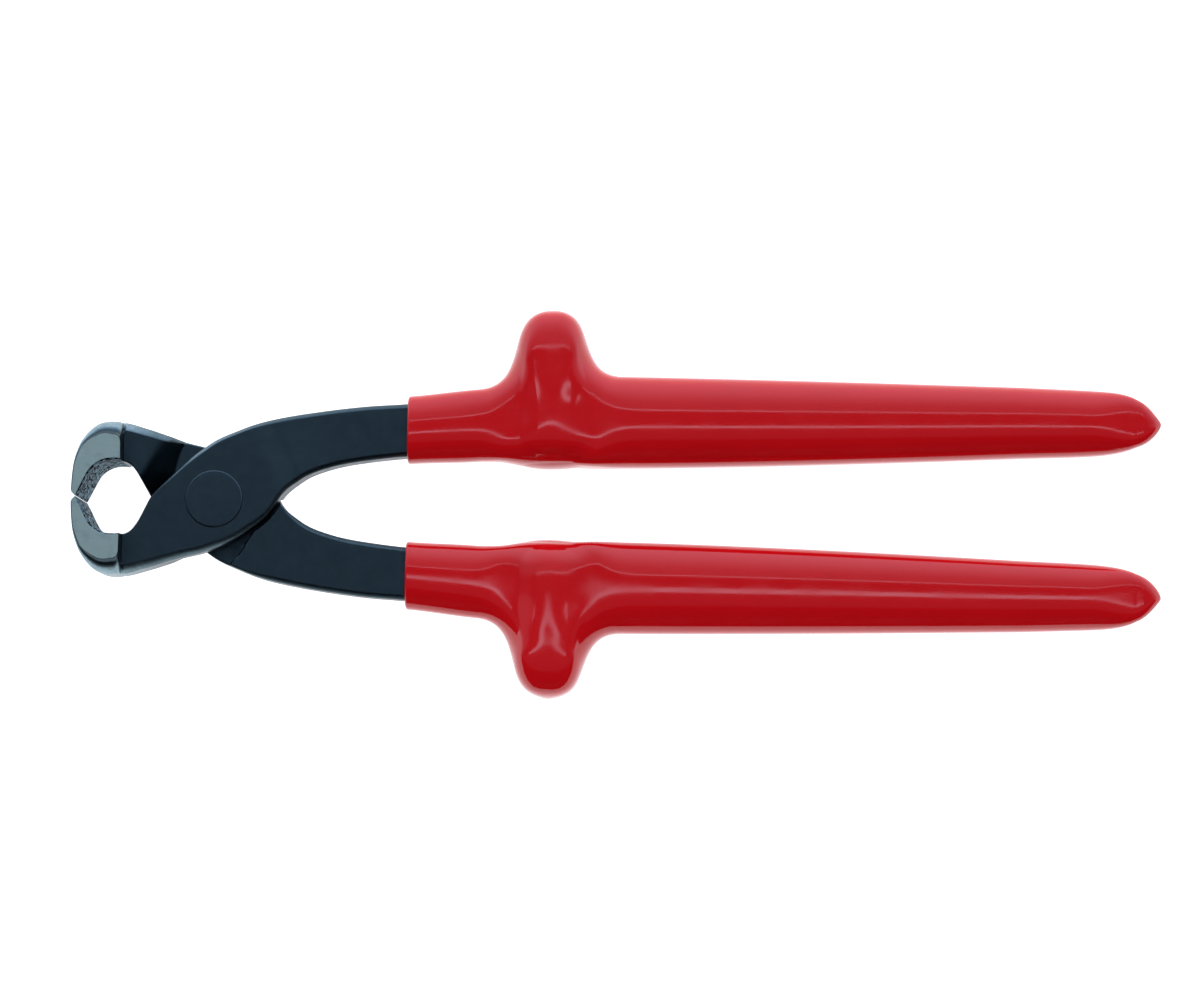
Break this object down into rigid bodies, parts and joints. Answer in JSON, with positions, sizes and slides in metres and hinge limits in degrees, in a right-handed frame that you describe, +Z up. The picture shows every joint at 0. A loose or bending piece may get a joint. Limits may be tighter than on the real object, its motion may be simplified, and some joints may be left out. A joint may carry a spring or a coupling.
{
  "type": "end cutting nippers",
  "caption": "Insulated end cutting nippers: two black forged levers crossing at a rivet, with wide cutting jaws and red dipped grips that have finger guards.",
  "frame": {"origin": "on the surface that the tool lies on, under the middle of its box, with the tool closed", "axes": "+X from the jaws to the ends of the grips, +Y across the tool towards the front lever's grip, +Z up along the rivet"},
  "size_m": [0.2554, 0.0918, 0.022],
  "materials": {
    "black_steel": "forged and blackened, jaw sides and bevels ground bright",
    "rivet_steel": "turned and blackened",
    "base_coat": "first dip coat, satin",
    "guard_core": "moulded, natural",
    "red_sleeve": "dipped, glossy"
  },
  "bodies": {
    "rear_half": {"rear_lever": "black_steel", "pivot_rivet": "rivet_steel", "rear_base_coat": "base_coat", "rear_guard_core": "guard_core", "rear_sleeve": "red_sleeve"},
    "front_half": {"front_lever": "black_steel", "front_base_coat": "base_coat", "front_guard_core": "guard_core", "front_sleeve": "red_sleeve"}
  },
  "joints": [
    {"name": "handle_pivot", "type": "hinge", "parent": "rear_half", "child": "front_half", "pos_m": [-0.09475, 0, 0.011], "axis": [0, 0, 1], "range_deg": [0, 40]}
  ]
}
